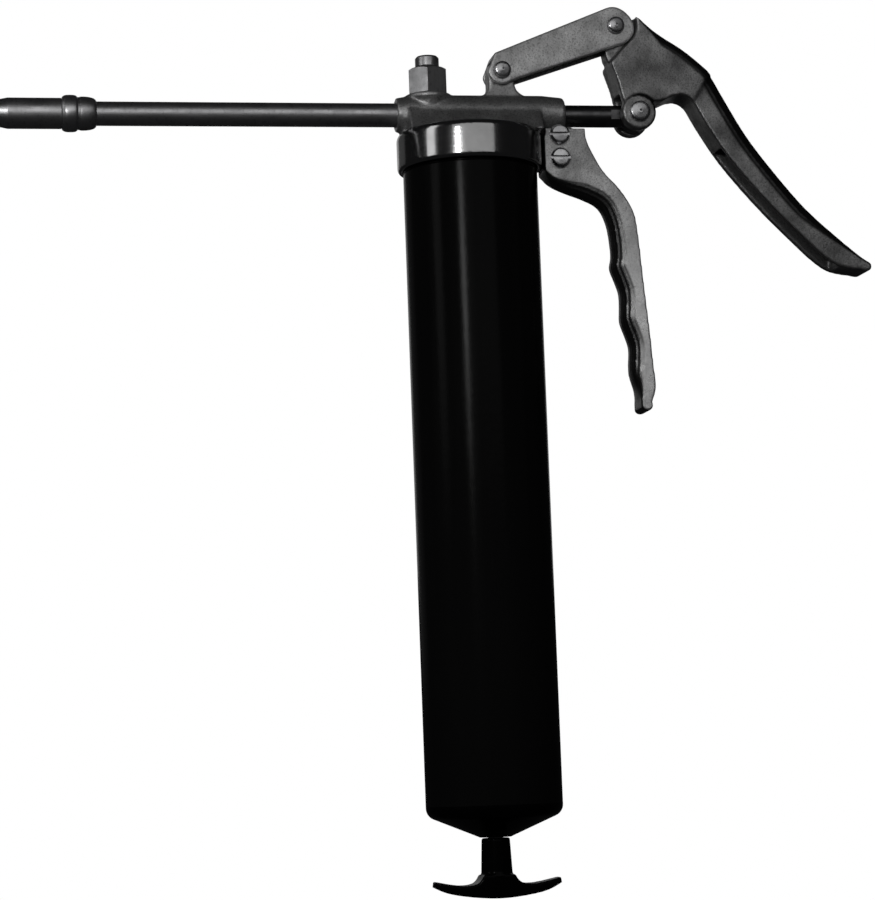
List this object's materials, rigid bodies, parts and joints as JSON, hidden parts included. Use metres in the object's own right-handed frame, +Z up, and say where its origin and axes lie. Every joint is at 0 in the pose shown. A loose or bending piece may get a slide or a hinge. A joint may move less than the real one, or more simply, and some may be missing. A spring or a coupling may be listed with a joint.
{
  "type": "lever grease gun",
  "caption": "Hand lever grease gun: screw-on barrel with spring follower and pull handle, pump head, squeeze lever and grip, straight pipe with nipple coupler.",
  "frame": {"origin": "on the barrel's axis, at the lower end of the barrel tube's straight wall", "axes": "+Z up the barrel towards the head, +X from the outlet pipe towards the lever, +Y along the lever's pins, away from the side with the pin heads"},
  "size_m": [0.3733, 0.062, 0.3781],
  "materials": {
    "cast_alloy": "fine cast grain, satin",
    "bright_steel": "turned and polished",
    "coupler_steel": "turned, zinc plated",
    "dark_steel": "oiled, hardened",
    "spring_steel": "drawn wire",
    "brass": "turned",
    "rubber": "matt",
    "black_enamel": "gloss baked enamel on steel",
    "plated_sheet": "zinc plated sheet"
  },
  "bodies": {
    "head": {"head_casting": "cast_alloy", "fixed_grip": "cast_alloy", "grip_screws": "bright_steel", "grip_nuts": "bright_steel", "plunger_seal": "rubber", "plunger_gland": "brass", "outlet_check_spring": "spring_steel", "outlet_valve_retainer": "brass", "extension_pipe": "bright_steel", "coupler_adapter": "coupler_steel", "coupler_sleeve": "coupler_steel", "coupler_spring": "spring_steel", "coupler_check_spring": "spring_steel", "filler_nipple": "coupler_steel", "filler_spring": "spring_steel", "fulcrum_pin": "bright_steel", "fulcrum_clip": "dark_steel", "plunger_return_spring": "spring_steel"},
    "rocker": {"link": "cast_alloy", "link_pin": "bright_steel", "link_pin_clip": "dark_steel"},
    "lever": {"lever": "cast_alloy", "plunger_pin": "bright_steel", "plunger_pin_clip": "dark_steel"},
    "plunger": {"plunger": "bright_steel"},
    "outlet_ball": {"outlet_check_ball": "spring_steel"},
    "filler_ball": {"filler_ball": "spring_steel"},
    "nipple_grip": {"coupler_jaws": "dark_steel", "coupler_seal": "rubber", "coupler_piston": "dark_steel"},
    "coupler_ball": {"coupler_check_ball": "spring_steel"},
    "gasket": {"barrel_gasket": "rubber"},
    "barrel": {"barrel_tube": "black_enamel", "end_cap": "black_enamel", "rod_bushing": "brass", "follower_spring": "spring_steel"},
    "follower": {"follower_cup": "rubber", "follower_plate": "plated_sheet", "follower_nut": "bright_steel"},
    "pull_rod": {"follower_rod": "bright_steel", "t_handle": "black_enamel"}
  },
  "joints": [
    {"name": "link_rock", "type": "hinge", "parent": "head", "child": "rocker", "pos_m": [0.0144, 0, 0.3114], "axis": [0, 1, 0], "range_deg": [0, 0.7]},
    {"name": "lever_squeeze", "type": "hinge", "parent": "rocker", "child": "lever", "pos_m": [0.0651, 0, 0.3314], "axis": [0, 1, 0], "range_deg": [0, 26], "stiffness_Nm_per_rad": 1.5, "springref_deg": -14.32},
    {"name": "plunger_stroke", "type": "slide", "parent": "head", "child": "plunger", "axis": [1, 0, 0], "range_m": [-0.0182, 0], "deforming": ["plunger_return_spring"]},
    {"name": "outlet_valve_lift", "type": "slide", "parent": "head", "child": "outlet_ball", "axis": [-1, 0, 0], "range_m": [0, 0.0012], "stiffness_N_per_m": 15, "springref_m": -0.001, "deforming": ["outlet_check_spring"]},
    {"name": "filler_valve_push", "type": "slide", "parent": "head", "child": "filler_ball", "axis": [0, 0, -1], "range_m": [0, 0.0015], "stiffness_N_per_m": 12, "springref_m": -0.001, "deforming": ["filler_spring"]},
    {"name": "coupler_jaw_slide", "type": "slide", "parent": "head", "child": "nipple_grip", "axis": [1, 0, 0], "range_m": [0, 0.0015], "stiffness_N_per_m": 300, "springref_m": -0.0005, "deforming": ["coupler_spring"]},
    {"name": "coupler_valve_lift", "type": "slide", "parent": "head", "child": "coupler_ball", "axis": [-1, 0, 0], "range_m": [0, 0.0012], "stiffness_N_per_m": 10, "springref_m": -0.001, "deforming": ["coupler_check_spring"]},
    {"name": "barrel_withdraw", "type": "slide", "parent": "head", "child": "gasket", "axis": [0, 0, -1], "range_m": [0, 0.012]},
    {"name": "barrel_unscrew", "type": "hinge", "parent": "gasket", "child": "barrel", "pos_m": [0, 0, 0.27], "axis": [0, 0, -1], "range_deg": [0, 2161]},
    {"name": "follower_pull", "type": "slide", "parent": "barrel", "child": "follower", "axis": [0, 0, -1], "range_m": [0, 0.215], "stiffness_N_per_m": 250, "springref_m": -0.1, "deforming": ["follower_spring"]},
    {"name": "rod_spin", "type": "hinge", "parent": "follower", "child": "pull_rod", "pos_m": [0, 0, 0], "axis": [0, 0, 1], "continuous": true}
  ],
  "couplings": [
    {"joint": "link_rock", "follows": "lever_squeeze", "ratio": 0.0225},
    {"joint": "plunger_stroke", "follows": "lever_squeeze", "m_per_rad": -0.0394},
    {"joint": "barrel_unscrew", "follows": "barrel_withdraw", "rad_per_m": 3141.6}
  ]
}
